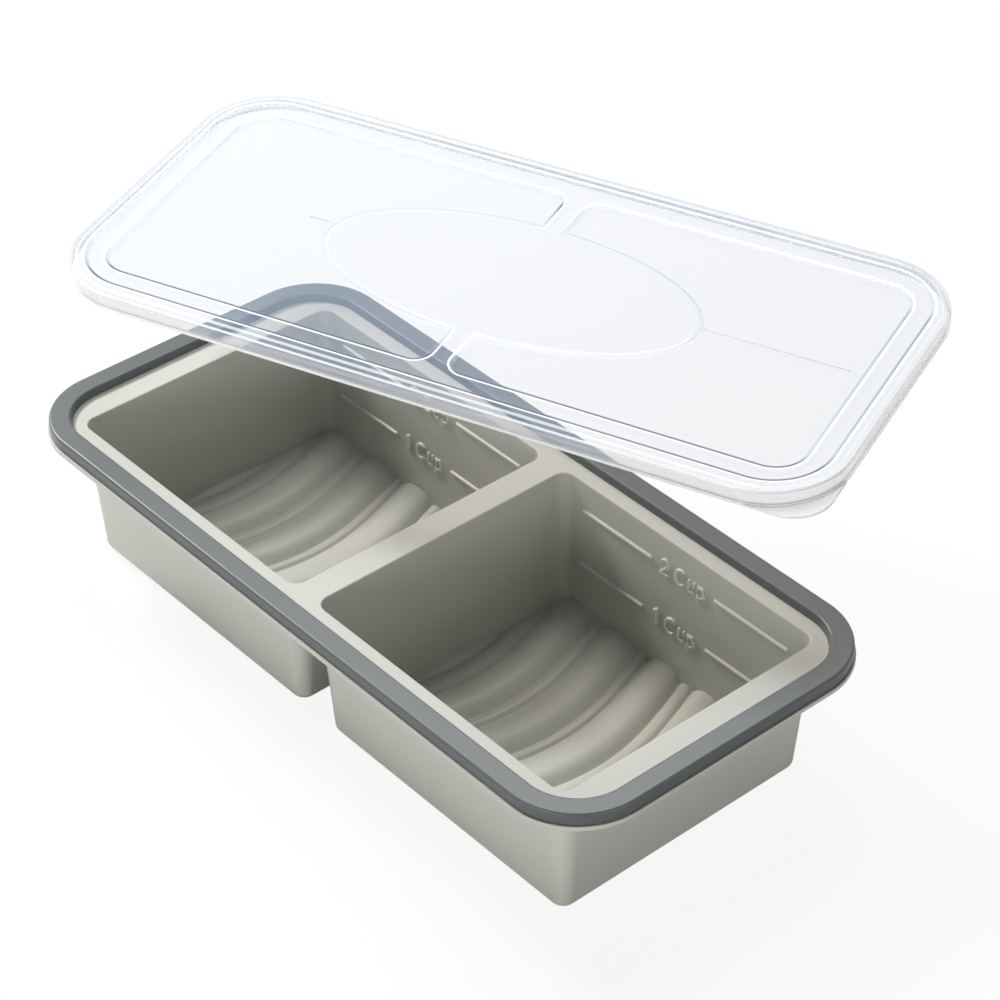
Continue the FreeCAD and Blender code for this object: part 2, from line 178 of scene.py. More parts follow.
def quarter_turn(steps: int) -> list[tuple[float, float]]:
    """Cosine and sine at even steps from 0 to 90 degrees."""
    return [(math.cos(t), math.sin(t)) for t in np.linspace(0.0, math.pi / 2, steps + 1)]


def smooth_step(steps: int) -> list[tuple[float, float]]:
    """Shares along and down a soft step: even steps along, and down by half a cosine wave."""
    along = np.linspace(0.0, 1.0, steps + 1)
    return [(float(s), float((1 - math.cos(math.pi * s)) / 2)) for s in along]


# --------------------------------------------------------------------------- mesh building
class Shell:
    """Points and faces of one surface, joined up row by row, in millimetres."""

    def __init__(self) -> None:
        """Starts with no points."""
        self.rows: list[np.ndarray] = []
        self.faces: list[list[int]] = []
        self.count = 0

    def add(self, points: np.ndarray) -> np.ndarray:
        """Adds points and returns their numbers."""
        self.rows.append(points)
        numbers = np.arange(self.count, self.count + len(points))
        self.count += len(points)
        return numbers

    def bridge(self, first: np.ndarray, second: np.ndarray, closed: bool = True) -> None:
        """Quads between two rows of point numbers of the same length."""
        quads = np.column_stack([first, np.roll(first, -1), np.roll(second, -1), second])
        self.faces += (quads if closed else quads[:-1]).tolist()

    def loft(self, rows: Sequence[np.ndarray], closed: bool = True) -> tuple[np.ndarray, np.ndarray]:
        """Adds rows of points with quads between neighbours.

        Args:
            rows: rows of points, all of the same length.
            closed: whether each row is a loop.

        Returns:
            The numbers of the first row and of the last.
        """
        numbers = [self.add(row) for row in rows]
        for first, second in zip(numbers, numbers[1:]):
            self.bridge(first, second, closed)
        return numbers[0], numbers[-1]

    def fill(self, outline: np.ndarray, holes: Sequence[np.ndarray] = ()) -> None:
        """Flat faces inside a level loop of point numbers and outside the holes in it."""
        if not holes:
            self.faces.append(outline.tolist())
            return
        points = np.vstack(self.rows)
        loops = [outline, *holes]
        numbers = np.concatenate(loops)
        places = [Vector(point[:2]) for point in points[numbers]]
        ends = np.cumsum([0, *(len(loop) for loop in loops)])
        borders = [list(range(low, high)) for low, high in zip(ends, ends[1:])]
        inside_less_holes = 2
        _, _, triangles, sources, *_ = delaunay_2d_cdt(places, [], borders, inside_less_holes, 1e-7)
        self.faces += [[int(numbers[sources[corner][0]]) for corner in face] for face in triangles]

    def build(self, name: str, crease: float = 38.0, place: Matrix | None = None) -> bpy.types.Object:
        """Makes the object: merged points, outward faces, smooth but for real edges.

        Args:
            name: the piece's name.
            crease: the angle in degrees past which an edge stays sharp.
            place: turn and shift in millimetres that put the piece where it belongs.

        Returns:
            The new object, at the origin, linked to the scene.
        """
        points = np.vstack(self.rows)
        if place is not None:
            turned = np.array(place)
            points = points @ turned[:3, :3].T + turned[:3, 3]
        mesh = bpy.data.meshes.new(name)
        mesh.from_pydata((points * MM).tolist(), [], self.faces)
        work = bmesh.new()
        work.from_mesh(mesh)
        bmesh.ops.remove_doubles(work, verts=work.verts, dist=1e-7)
        bmesh.ops.recalc_face_normals(work, faces=work.faces)
        work.to_mesh(mesh)
        work.free()
        mesh.shade_smooth()
        mesh.set_sharp_from_angle(angle=math.radians(crease))
        piece = bpy.data.objects.new(name, mesh)
        bpy.context.scene.collection.objects.link(piece)
        weigh = piece.modifiers.new("even_shading", "WEIGHTED_NORMAL")
        weigh.keep_sharp = True
        weigh.weight = 100
        return piece


# --------------------------------------------------------------------------- shader building
class Signal:
    """A number in a material's node tree, used in ordinary arithmetic."""

    def __init__(self, board: Board, socket: bpy.types.NodeSocket) -> None:
        """Wraps an output socket of a board's tree."""
        self.board = board
        self.socket = socket

    def _math(self, operation: str, first: Signal | float, second: Signal | float) -> Signal:
        """One Math node on two values."""
        return self.board.node("ShaderNodeMath", {"operation": operation}, {0: first, 1: second})

    def __add__(self, other: Signal | float) -> Signal:
        """Sum."""
        return self._math("ADD", self, other)

    __radd__ = __add__

    def __sub__(self, other: Signal | float) -> Signal:
        """Difference."""
        return self._math("SUBTRACT", self, other)

    def __rsub__(self, other: Signal | float) -> Signal:
        """Difference, the other way round."""
        return self._math("SUBTRACT", other, self)

    def __mul__(self, other: Signal | float) -> Signal:
        """Product."""
        return self._math("MULTIPLY", self, other)

    __rmul__ = __mul__


class Board:
    """A material's node tree, from empty, with one method that adds any node."""

    def __init__(self, tree: bpy.types.NodeTree) -> None:
        """Clears a node tree and works in it."""
        tree.nodes.clear()
        self.tree = tree

    @classmethod
    def of_material(cls, name: str) -> tuple[bpy.types.Material, Board]:
        """A new material and the board of its tree."""
        material = bpy.data.materials.new(name)
        material.use_nodes = True
        return material, cls(material.node_tree)

    def node(
        self,
        kind: str,
        settings: dict[str, object] | None = None,
        inputs: dict[int | str, object] | None = None,
        output: int | str = 0,
    ) -> Signal:
        """Adds a node.

        Args:
            kind: the node's type, such as ShaderNodeMath.
            settings: the node's own options.
            inputs: values or signals for its sockets, by number or name.
            output: which of its outputs to return.

        Returns:
            The output as a signal.
        """
        made = self.tree.nodes.new(kind)
        for option, value in (settings or {}).items():
            setattr(made, option, value)
        for key, value in (inputs or {}).items():
            if isinstance(value, Signal):
                self.tree.links.new(value.socket, made.inputs[key])
            else:
                made.inputs[key].default_value = value
        return Signal(self, made.outputs[output])

    def place(self) -> Signal:
        """Object coordinates."""
        return self.node("ShaderNodeTexCoord", output="Object")

    def noise(self, place: Signal, scale: float, detail: float = 2.0) -> Signal:
        """Noise from 0 to 1, with scale in features per metre."""
        inputs = {"Vector": place, "Scale": scale, "Detail": detail}
        return self.node("ShaderNodeTexNoise", None, inputs, "Fac")

    def blend(self, share: Signal, low: Colour | Signal, high: Colour) -> Signal:
        """Colour between two colours."""
        factor, first, second, colour_out = 0, 6, 7, 2
        start = low if isinstance(low, Signal) else (*low, 1.0)
        inputs = {factor: share, first: start, second: (*high, 1.0)}
        return self.node("ShaderNodeMix", {"data_type": "RGBA"}, inputs, colour_out)

    def ramp(self, value: Signal, start: float, end: float) -> Signal:
        """Smooth rise from 0 at one value to 1 at another."""
        settings = {"interpolation_type": "SMOOTHSTEP"}
        return self.node("ShaderNodeMapRange", settings, {"Value": value, "From Min": start, "From Max": end})

    def attribute(self, name: str) -> Signal:
        """A number that the piece's mesh carries."""
        return self.node("ShaderNodeAttribute", {"attribute_name": name}, None, "Fac")

    def bump(self, height: Signal, strength: float, distance: float, over: Signal | None = None) -> Signal:
        """Normal from a height signal, with the distance in millimetres, over another normal if given."""
        inputs = {"Height": height, "Strength": strength, "Distance": distance * MM}
        if over is not None:
            inputs["Normal"] = over
        return self.node("ShaderNodeBump", None, inputs)

    def surface(self, inputs: dict[int | str, object]) -> Signal:
        """Principled surface."""
        return self.node("ShaderNodeBsdfPrincipled", None, inputs)

    def finish(self, surface: Signal, kind: str = "ShaderNodeOutputMaterial") -> None:
        """Sends a surface to the output of a material, or of the world."""
        output = self.tree.nodes.new(kind)
        self.tree.links.new(surface.socket, output.inputs["Surface"])


@dataclass(frozen=True)
class SiliconeFinish:
    """Moulded silicone: a soft satin skin with a fine moulded grain and faint tone changes."""

    name: str
    shade: Colour
    light: Colour
    roughness: float
    roughness_spread: float = 0.06
    specular: float = 0.5
    tone_scale: float = 14.0
    grain_scale: float = 2400.0
    grain_height: float = 0.010
    grain_detail: float = 3.0
    grain_strength: float = 0.5
    ripple_scale: float = 90.0
    ripple_height: float = 0.02
    ripple_detail: float = 1.0
    ripple_strength: float = 0.35

    def material(self) -> bpy.types.Material:
        """Builds the material."""
        material, board = Board.of_material(self.name)
        place = board.place()
        tone = board.noise(place, self.tone_scale)
        grain = board.noise(place, self.grain_scale, self.grain_detail)
        ripple = board.noise(place, self.ripple_scale, self.ripple_detail)
        relief = board.bump(ripple, self.ripple_strength, self.ripple_height)
        fine = board.bump(grain, self.grain_strength, self.grain_height, relief)
        rough = self.roughness + (grain - 0.5) * self.roughness_spread
        surface = board.surface(
            {
                "Base Color": board.blend(tone, self.shade, self.light),
                "Roughness": rough,
                "Specular IOR Level": self.specular,
                "Normal": fine,
            }
        )
        board.finish(surface)
        return material


@dataclass(frozen=True)
class ClearFinish:
    """Clear moulded plastic with a faint milky haze, which scatters blue light and passes yellow.

    The skirt is milkier than the level faces.  Rounded edges, the shoulders of steps, a band along the border
    and the foot get painted highlights, white and more opaque.  Steps get painted shade, deeper where they
    turn away from the eye, and faces near the skyline get painted shade too.
    """

    name: str
    flat: Colour
    skirt: Colour
    tint: Colour
    flat_haze: float
    skirt_haze: float
    # line and line_haze: colour and added opacity of the painted shade; faint and skyline: its least strength
    # on a step, and its strength near the skyline.
    line: Colour = (0.02, 0.022, 0.026)
    # Colour of the painted highlights: white.
    painted_shine: Colour = (1.0, 1.0, 1.0)
    line_haze: float = 0.8
    painted_shine_haze: float = 0.75
    faint: float = 0.28
    skyline: float = 0.2
    roughness: float = 0.12
    roughness_spread: float = 0.04
    grain_scale: float = 700.0
    grain_height: float = 0.004
    grain_strength: float = 0.3
    wave_scale: float = 22.0
    wave_haze: float = 0.03
    line_facing: tuple[float, float] = (0.42, 0.56)
    skyline_facing: tuple[float, float] = (0.75, 1.0)
    edge_facing: tuple[float, float] = (0.42, 0.25)

    def material(self) -> bpy.types.Material:
        """Builds the material."""
        material, board = Board.of_material(self.name)
        place = board.place()
        wave = board.noise(place, self.wave_scale)
        grain = board.noise(place, self.grain_scale)
        slope = board.attribute(SKIRT)
        facing = board.node("ShaderNodeLayerWeight", None, {"Blend": 0.5}, "Facing")
        # Painted shade on a step, stronger where it turns from the eye, plus painted shade on faces near the
        # skyline.
        turned = self.faint + board.ramp(facing, *self.line_facing) * (1.0 - self.faint)
        painted_skyline_shade = board.ramp(facing, *self.skyline_facing) * self.skyline
        painted_shade = board.attribute(PAINTED_STEP_SHADE) * turned + painted_skyline_shade
        # Painted highlights: step shoulders, the border's band and the foot always, the top's rounding where
        # it faces the eye.
        painted_highlights = board.attribute(PAINTED_SHINE) + board.attribute(PAINTED_EDGE_SHINE) * board.ramp(facing, *self.edge_facing)
        body = board.blend(slope, self.flat, self.skirt)
        haze = self.flat_haze + (wave - 0.5) * self.wave_haze + slope * (self.skirt_haze - self.flat_haze)
        surface = board.surface(
            {
                # Body colour with painted shade and painted highlights laid over it.
                "Base Color": board.blend(painted_highlights, board.blend(painted_shade, body, self.line), self.painted_shine),
                "Roughness": self.roughness + (grain - 0.5) * self.roughness_spread,
                "Normal": board.bump(grain, self.grain_strength, self.grain_height),
            }
        )
        through = board.node("ShaderNodeBsdfTransparent", None, {"Color": (*self.tint, 1.0)})
        # Painted shade and painted highlights also make the plastic more opaque.
        cover = haze + painted_shade * self.line_haze + painted_highlights * self.painted_shine_haze
        board.finish(board.node("ShaderNodeMixShader", None, {0: cover, 1: through, 2: surface}))
        return material


@dataclass(frozen=True)
class SteelFinish:
    """Rolled steel strip, with fine lines along its length."""

    name: str
    shade: Colour
    light: Colour
    roughness: float
    roughness_spread: float = 0.15
    line_scale: Triple = (40.0, 40.0, 4000.0)
    line_detail: float = 3.0
    line_strength: float = 0.2
    line_height: float = 0.01

    def material(self) -> bpy.types.Material:
        """Builds the material."""
        material, board = Board.of_material(self.name)
        place = board.place()
        lines = board.node("ShaderNodeMapping", None, {"Vector": place, "Scale": self.line_scale})
        streak = board.noise(lines, 1.0, self.line_detail)
        surface = board.surface(
            {
                "Base Color": board.blend(streak, self.shade, self.light),
                "Metallic": 1.0,
                "Roughness": self.roughness + (streak - 0.5) * self.roughness_spread,
                "Normal": board.bump(streak, self.line_strength, self.line_height),
            }
        )
        board.finish(surface)
        return material


# Numbers on the lid's points: its skirt, and where the finish paints highlights and shade.
SKIRT, PAINTED_SHINE, PAINTED_EDGE_SHINE, PAINTED_STEP_SHADE = "skirt", "painted_shine", "edge", "painted_step_shade"
GREY_SILICONE = SiliconeFinish(
    "moulded_grey_silicone", (0.50, 0.50, 0.455), (0.53, 0.53, 0.483), 0.42, specular=0.35,
)
# Same silicone as the tray, smoother, and painted lighter: a painted highlight for the light the marks'
# raised edges catch.
POLISHED_PAINTED_LIGHT_SILICONE = SiliconeFinish(
    "polished_grey_silicone_painted_lighter", (0.64, 0.64, 0.59), (0.68, 0.68, 0.63), 0.32, specular=0.5,
)
SLATE_SILICONE = SiliconeFinish(
    "moulded_slate_silicone", (0.076, 0.084, 0.088), (0.086, 0.095, 0.099), 0.38,
)
CLEAR_PLASTIC = ClearFinish(
    "hazy_clear_plastic", (0.54, 0.70, 0.95), (0.84, 0.90, 1.0), (0.985, 0.962, 0.93), 0.15, 0.33,
)
ROLLED_STEEL = SteelFinish("rolled_steel", (0.50, 0.50, 0.49), (0.60, 0.60, 0.59), 0.35)


# --------------------------------------------------------------------------- the tray
RIM = Plan(288.4, 136.9, 26.8)
FLANGE_TOP = 54.0
BAND_FOOT = 52.5
BAND_FOOT_WIDTH = 8.2


@dataclass(frozen=True)
class RibbedFloor:
    """Floor of a tub: wide and narrow ribs side by side, which bow along a cosine wave."""

    low: float = 1.8
    wide_rise: float = 3.1
    narrow_rise: float = 0.9
    narrow_spans: tuple[tuple[float, float], ...] = (
        (-52.8, -45.3), (-27.2, -21.9), (-4.8, -0.5), (16.6, 22.2), (36.8, 41.6),
    )
    reach: float = 80.0
    bend: float = 9.9
    bend_wave: float = 171.0
    bend_centre: float = 1.0
    fullness: float = 1.5
    valley_round: float = 0.35
    wide_steps: int = 18
    narrow_steps: int = 12

    def valleys(self) -> np.ndarray:
        """Places of the valleys across the ribs."""
        inner = [edge for span in self.narrow_spans for edge in span]
        return np.array([-self.reach, *inner, self.reach])

    def stations(self) -> np.ndarray:
        """Places across the ribs for mesh lines, closer together near each valley."""
        valleys = self.valleys()
        places = []
        for number, (left, right) in enumerate(zip(valleys, valleys[1:])):
            steps = self.wide_steps if number % 2 == 0 else self.narrow_steps
            share = (1 - np.cos(np.linspace(0.0, math.pi, steps + 1)[:-1])) / 2
            places.append(left + (right - left) * share)
        return np.concatenate([*places, [self.reach]])

    def shift(self, y: np.ndarray) -> np.ndarray:
        """Sideways bow at a place across the tub: one cosine wave."""
        return -self.bend * (1 - np.cos(2 * math.pi * (y - self.bend_centre) / self.bend_wave))

    def height(self, x: np.ndarray, y: np.ndarray) -> np.ndarray:
        """Height of the floor at x from the tub's middle, and y.

        Each rib is 1 - (1 - sine) ** fullness from valley to valley, and the root of its square
        plus a small square rounds the valleys off.
        """
        across = x - self.shift(y)
        valleys = self.valleys()
        number = np.clip(np.searchsorted(valleys, across, side="right") - 1, 0, len(valleys) - 2)
        share = (across - valleys[number]) / (valleys[number + 1] - valleys[number])
        rise = np.where(number % 2 == 0, self.wide_rise, self.narrow_rise)
        arch = rise * (1 - (1 - np.sin(math.pi * np.clip(share, 0, 1))) ** self.fullness)
        soft = np.sqrt(arch**2 + self.valley_round**2) - self.valley_round
        full = np.sqrt(rise**2 + self.valley_round**2) - self.valley_round
        return self.low + rise * soft / full


@dataclass
class TubInside:
    """One tub's inside: ribbed floor, leaning walls and the rounded edge of its mouth."""

    centre_x: float
    floor: RibbedFloor = field(default_factory=RibbedFloor)
    well: Plan = Plan(111.6, 100.4, 4.5)
    well_bottom: float = 1.0
    mouth: Plan = Plan(120.0, 108.9, 4.6)
    mouth_height: float = FLANGE_TOP
    mouth_round: float = 0.6
    row_step: float = 1.7
    corner_steps: int = 9
    round_steps: int = 9
    edge_rounds: int = 6
    wall_gap: float = 0.05

    @property
    def lean(self) -> float:
        """How far the long walls go outwards for each millimetre up."""
        return (self.mouth.width - self.well.width) / 2 / (self.mouth_height - self.well_bottom)

    def wall_plan(self, height: np.ndarray | float) -> tuple[np.ndarray, np.ndarray, np.ndarray]:
        """Half length, half width and corner radius of the walls at a height."""
        share = (height - self.well_bottom) / (self.mouth_height - self.well_bottom)
        low, high = self.well.sizes(), self.mouth.sizes()
        length, width, corner = (a + (b - a) * share for a, b in zip(low, high))
        return length / 2, width / 2, corner

    def row_places(self) -> tuple[np.ndarray, np.ndarray]:
        """Rows across the floor, as the anchor along y and the angle round the corner circles."""
        _, half_width, corner = self.wall_plan(self.floor.low)
        straight = int(2 * (half_width - corner) / self.row_step)
        anchor = np.linspace(-1.0, 1.0, straight + 1)
        turns = np.linspace(0.0, math.pi / 2, self.corner_steps + 1)[1:]
        anchors = np.concatenate([-np.ones(len(turns)), anchor, np.ones(len(turns))])
        angles = np.concatenate([-turns[::-1], np.zeros(len(anchor)), turns])
        return anchors, angles

    def edge_points(self, anchor: np.ndarray, outward: np.ndarray) -> np.ndarray:
        """Where the walls meet the floor, found by repeating height and wall in turn."""
        height = np.full(len(anchor), self.floor.low + 1.0)
        points = np.zeros((len(anchor), 3))
        for _ in range(self.edge_rounds):
            length, width, corner = self.wall_plan(height)
            points[:, 0] = anchor[:, 0] * (length - corner) + outward[:, 0] * corner
            points[:, 1] = anchor[:, 1] * (width - corner) + outward[:, 1] * corner
            height = self.floor.height(points[:, 0], points[:, 1])
        points[:, 2] = height
        return points

    def floor_grid(self) -> tuple[np.ndarray, np.ndarray, np.ndarray]:
        """Grid over the floor along and across its ribs, cut off at the walls.

        Returns:
            The points as rows, columns and x, y, z about the tub's middle, each row's column of
            the first free point, and that of the last.
        """
        anchors, angles = self.row_places()
        sides = []
        for sign in (-1.0, 1.0):
            anchor = np.column_stack([np.full(len(anchors), sign), anchors])
            outward = np.column_stack([sign * np.cos(angles), np.sin(angles)])
            sides.append(self.edge_points(anchor, outward))
        left, right = sides
        stations = self.floor.stations()
        middle_y = (left[:, 1] + right[:, 1]) / 2
        x = stations[None, :] + self.floor.shift(middle_y)[:, None]
        y = np.repeat(middle_y[:, None], len(stations), axis=1)
        for row, sign in ((0, -1.0), (-1, 1.0)):
            length, _, corner = self.wall_plan(self.floor.low)
            anchor = np.column_stack([x[row] / (length - corner), np.full(len(stations), sign)])
            outward = np.column_stack([np.zeros(len(stations)), np.full(len(stations), sign)])
            y[row] = self.edge_points(anchor, outward)[:, 1]
        before, after = x < left[:, :1] + self.wall_gap, x > right[:, :1] - self.wall_gap
        x = np.where(before, left[:, :1], np.where(after, right[:, :1], x))
        y = np.where(before, left[:, 1:2], np.where(after, right[:, 1:2], y))
        grid = np.dstack([x, y, self.floor.height(x, y)])
        return grid, before.sum(axis=1) - 1, x.shape[1] - after.sum(axis=1)

    def border(self, grid: np.ndarray, first: np.ndarray, last: np.ndarray) -> np.ndarray:
        """Rows and columns of the grid's points along the walls, anticlockwise, none twice."""
        rows = len(grid)
        bottom = [(0, column) for column in range(first[0], last[0])]
        right = [(row, last[row]) for row in range(rows - 1)]
        top = [(rows - 1, column) for column in range(last[-1], first[-1], -1)]
        left = [(row, first[row]) for row in range(rows - 1, 0, -1)]
        return np.array(bottom + right + top + left)

    def ring(self, grid: np.ndarray, border: np.ndarray) -> Ring:
        """Places round the walls that stand over the floor's border."""
        anchors, angles = self.row_places()
        points = grid[border[:, 0], border[:, 1]]
        length, _, corner = self.wall_plan(points[:, 2])
        row = border[:, 0]
        inner = (row == 0) | (row == len(grid) - 1)
        side = np.sign(points[:, 0])
        across = np.clip(points[:, 0] / (length - corner), -1.0, 1.0)
        anchor_x = np.where(inner, across, side)
        outward_x = np.where(inner, 0.0, side * np.cos(angles[row]))
        outward_y = np.where(inner, np.sign(angles[row]), np.sin(angles[row]))
        return Ring(np.column_stack([anchor_x, anchors[row]]), np.column_stack([outward_x, outward_y]))

    def add_to(self, shell: Shell) -> np.ndarray:
        """Adds floor, walls and rounded mouth.

        Args:
            shell: the shell that takes them.

        Returns:
            Numbers of the points where the mouth's rounding runs out into the flange.
        """
        grid, first, last = self.floor_grid()
        border = self.border(grid, first, last)
        ring = self.ring(grid, border)
        placed = grid + np.array([self.centre_x, 0.0, 0.0])
        numbers = shell.add(placed.reshape(-1, 3)).reshape(grid.shape[:2])
        for lower, upper in zip(numbers, numbers[1:]):
            shell.bridge(lower, upper, closed=False)
        foot = numbers[border[:, 0], border[:, 1]]
        tilt = math.atan(self.lean)
        centre_height = self.mouth_height - self.mouth_round
        wall_there = self.well.toward(
            self.mouth, (centre_height - self.well_bottom) / (self.mouth_height - self.well_bottom)
        ).moved(self.centre_x)
        centre = self.mouth_round / math.cos(tilt)
        rows = []
        for turn in np.linspace(math.pi / 2 - tilt, 0.0, self.round_steps + 1):
            outline = wall_there.grown(centre - self.mouth_round * math.sin(turn))
            rows.append(outline.on(ring, centre_height + self.mouth_round * math.cos(turn)))
        low, high = shell.loft(rows)
        shell.bridge(foot, low)
        return high


@dataclass
class TrayMoulding:
    """The grey silicone moulding: flange with a lip, two tubs and their ribbed insides."""

    tub_pitch: float = 131.2
    lip_proud: float = 0.7
    lip_round: float = 0.3
    lip_steps: int = 4
    flange_bottom: float = 50.8
    tub_top: Plan = Plan(123.3, 111.9, 7.5)
    tub_foot: Plan = Plan(115.9, 104.6, 4.8)
    foot_round: float = 3.0
    root_round: float = 1.2
    round_steps: int = 6

    def centres(self) -> tuple[float, float]:
        """The tubs' middles along x."""
        return -self.tub_pitch / 2, self.tub_pitch / 2

    def outside_plan(self, height: float, centre_x: float) -> Plan:
        """A tub's outer outline at a height."""
        return self.tub_foot.toward(self.tub_top, height / self.flange_bottom).moved(centre_x)

    def add_tub(self, shell: Shell, centre_x: float) -> np.ndarray:
        """Adds one tub's outside and underside.

        Args:
            shell: the shell that takes them.
            centre_x: the tub's middle along x.

        Returns:
            Numbers of the points where the tub's root runs out into the flange's underside.
        """
        ring = Ring.plain()
        rows = []
        for cosine, sine in quarter_turn(self.round_steps):
            height = self.foot_round * (1 - cosine)
            outline = self.outside_plan(height, centre_x).grown(-self.foot_round * (1 - sine))
            rows.append(outline.on(ring, height))
        root = self.flange_bottom - self.root_round
        for cosine, sine in quarter_turn(self.round_steps):
            height = root + self.root_round * sine
            outline = self.outside_plan(root, centre_x).grown(self.root_round * (1 - cosine))
            rows.append(outline.on(ring, height))
        low, high = shell.loft(rows)
        shell.fill(low)
        return high

    def add_flange(self, shell: Shell, roots: Sequence[np.ndarray], mouths: Sequence[np.ndarray]) -> None:
        """Adds the flange with its lip, between the tubs' roots and their mouths."""
        ring = Ring.plain(corner_steps=24)
        lip = RIM.grown(self.lip_proud)
        inner = RIM.grown(-BAND_FOOT_WIDTH)
        rows = []
        for cosine, sine in quarter_turn(self.lip_steps):
            outline = lip.grown(-self.lip_round * (1 - sine))
            rows.append(outline.on(ring, self.flange_bottom + self.lip_round * (1 - cosine)))
        for cosine, sine in quarter_turn(self.lip_steps):
            outline = lip.grown(-self.lip_round * (1 - cosine))
            rows.append(outline.on(ring, BAND_FOOT - self.lip_round * (1 - sine)))
        rows += [inner.on(ring, BAND_FOOT), inner.on(ring, FLANGE_TOP)]
        low, high = shell.loft(rows)
        shell.fill(low, roots)
        shell.fill(high, mouths)

    def build(self) -> bpy.types.Object:
        """Builds the moulding and puts it in the CAD node's place."""
        shell = Shell()
        roots = [self.add_tub(shell, centre) for centre in self.centres()]
        mouths = [TubInside(centre).add_to(shell) for centre in self.centres()]
        self.add_flange(shell, roots, mouths)
        piece = shell.build("silicone_tray")
        piece.data.materials.append(GREY_SILICONE.material())
        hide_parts("tray_moulding")
        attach(piece, Body.TRAY.value)
        return piece


@dataclass(frozen=True)
class Stroke:
    """A path in a drawing, in shares of a capital's height, that a raised ridge follows."""

    path: np.ndarray
    closed: bool = False

    @classmethod
    def line(cls, *corners: tuple[float, float]) -> Stroke:
        """A straight run from corner to corner."""
        return cls(np.array(corners, float))

    @classmethod
    def arc(cls, centre: tuple[float, float], radius: float, start: float, stop: float) -> Stroke:
        """Part of a circle between two angles in degrees."""
        steps = max(3, int(abs(stop - start) / 9))
        turn = np.radians(np.linspace(start, stop, steps + 1))
        return cls(np.column_stack([np.cos(turn), np.sin(turn)]) * radius + centre)

    def then(self, other: Stroke, closed: bool = False) -> Stroke:
        """This path carried on by another one."""
        skip = int(np.allclose(self.path[-1], other.path[0]))
        return Stroke(np.vstack([self.path, other.path[skip:]]), closed)

    def scaled(self, size: float, shift_x: float, shift_y: float) -> Stroke:
        """The same path at a size in millimetres, moved along x and y."""
        return Stroke(self.path * size + (shift_x, shift_y), self.closed)


@dataclass(frozen=True)
class Ridge:
    """A raised half-round line: its width, height and the depth of its root in the wall."""

    width: float
    raised: float
    sunk: float
    levels: int = 7
    cap_steps: int = 6
    cap_reach: float = 0.55

    def outline(self, stroke: Stroke, half: float) -> np.ndarray:
        """Loop round a path: its left side, the cap at its end, its right side, the other cap.

        Each side is the path moved along its normal by the half width.  A cap is half an ellipse,
        and the ends draw back so that the widest loop's cap just touches the path's end.

        Args:
            stroke: the path.
            half: the loop's distance from the path.

        Returns:
            One row of x and y for each point.
        """
        path = stroke.path
        if stroke.closed:
            along = np.roll(path, -1, axis=0) - np.roll(path, 1, axis=0)
        else:
            along = np.gradient(path, axis=0)
        along /= np.linalg.norm(along, axis=1)[:, None]
        normal = np.column_stack([-along[:, 1], along[:, 0]])
        if stroke.closed:
            return np.vstack([path + normal * half, path - normal * half])
        back = self.width / 2 - half * (1 - self.cap_reach)
        path = path.copy()
        path[0] += along[0] * back
        path[-1] -= along[-1] * back
        turn = np.linspace(math.pi / 2, -math.pi / 2, self.cap_steps + 1)[1:-1, None]
        reach = half * self.cap_reach
        caps = [
            path[end] + way * along[end] * np.cos(turn) * reach + way * normal[end] * np.sin(turn) * half
            for end, way in ((-1, 1.0), (0, -1.0))
        ]
        left, right = path + normal * half, path - normal * half
        return np.vstack([left, caps[0], right[::-1], caps[1]])

    def add_to(self, shell: Shell, stroke: Stroke, place: np.ndarray) -> None:
        """Adds the ridge, closed all round.

        Its section is half an ellipse over a straight root: at the angle a the half width is
        the cosine's share of the whole, and the height is the sine's.

        Args:
            shell: the shell that takes it.
            stroke: the path that it follows.
            place: turn and shift from the drawing onto the wall, as a 4 by 4 array.
        """
        half = self.width / 2
        section = [(0.0, -self.sunk), (half, -self.sunk)]
        section += [(half * cosine, self.raised * sine) for cosine, sine in quarter_turn(self.levels)]
        rows = []
        for reach, level in section:
            flat = self.outline(stroke, reach)
            row = np.column_stack([flat, np.full(len(flat), level)])
            rows.append(row @ place[:3, :3].T + place[:3, 3])
        if not stroke.closed:
            shell.loft(rows)
            return
        sides = np.split(np.array(rows), 2, axis=1)
        for side in sides:
            shell.loft(list(side))


@dataclass(frozen=True)
class Lettering:
    """Plain stroked characters, drawn on a base line, in shares of a capital's height."""

    stroke: float = 0.17
    small: float = 0.75
    descent: float = 0.23

    def glyph(self, sign: str) -> tuple[list[Stroke], float]:
        """Strokes of a sign, and how far the next one starts after it."""
        half, small = self.stroke / 2, self.small
        if sign == "1":
            flag = Stroke.line((0.03, 0.745), (0.16, 0.84), (0.295, 0.95))
            return [flag, Stroke.line((0.295, 0.0), (0.295, 1.0))], 0.62
        if sign == "2":
            hook = Stroke.arc((0.33, 0.68), 0.32 - half, 170, -38).then(Stroke.line((0.09, 0.09)))
            return [hook, Stroke.line((0.0, half), (0.68, half))], 0.77
        if sign == "C":
            return [Stroke.arc((0.5, 0.5), 0.5 - half, 52, 308)], 1.0
        if sign == "u":
            outside = 0.265
            bowl = Stroke.line((half, small)).then(Stroke.arc((outside, outside), outside - half, 180, 360))
            right = 2 * outside - half
            return [bowl.then(Stroke.line((right, 0.5))), Stroke.line((right, 0.0), (right, small))], 0.665
        if sign == "p":
            outside = 0.29
            high = Stroke.arc((outside, small - outside), outside - half, 0, 180)
            low = Stroke.arc((outside, outside), outside - half, 180, 360)
            return [Stroke.line((half, small), (half, -self.descent)), high.then(low, closed=True)], 0.58
        return [], 0.25

    def word(self, text: str, height: float, middle: float) -> list[Stroke]:
        """Strokes of a word at a capital's height in millimetres, about a place along x."""
        glyphs = [self.glyph(sign) for sign in text]
        cursor = middle - sum(advance for _, advance in glyphs) * height / 2
        strokes = []
        for shapes, advance in glyphs:
            strokes += [shape.scaled(height, cursor, -height / 2) for shape in shapes]
            cursor += advance * height
        return strokes


